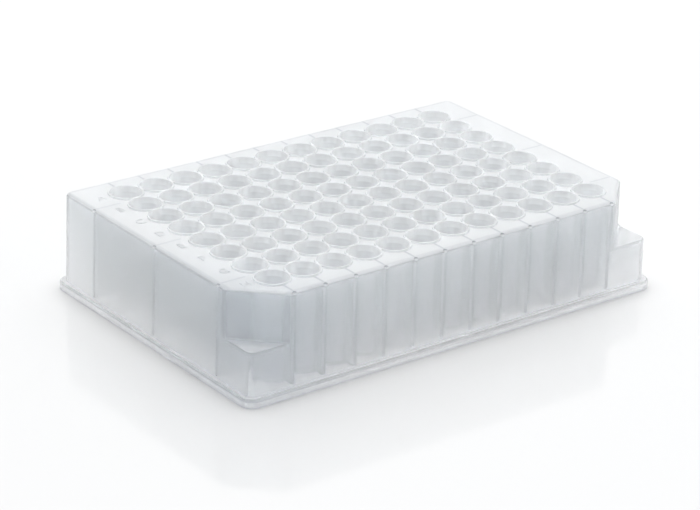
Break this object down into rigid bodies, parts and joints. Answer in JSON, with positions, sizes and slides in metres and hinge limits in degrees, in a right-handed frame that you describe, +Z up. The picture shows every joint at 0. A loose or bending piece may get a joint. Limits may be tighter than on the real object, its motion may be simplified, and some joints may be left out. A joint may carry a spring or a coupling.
{
  "type": "deep well plate",
  "caption": "Rectangular laboratory plate with a grid of round open wells, raised rims, two cut corners and a flanged base.",
  "frame": {"origin": "the middle of the rectangular footprint, in the plane that the flange stands on", "axes": "+X along the long side from column 1 to column 12, +Y along the short side from row H to row A, +Z up out of the wells"},
  "size_m": [0.1278, 0.0854, 0.0268],
  "materials": {
    "natural_polypropylene": "satin"
  },
  "bodies": {
    "root": {"well_plate": "natural_polypropylene"}
  },
  "joints": []
}
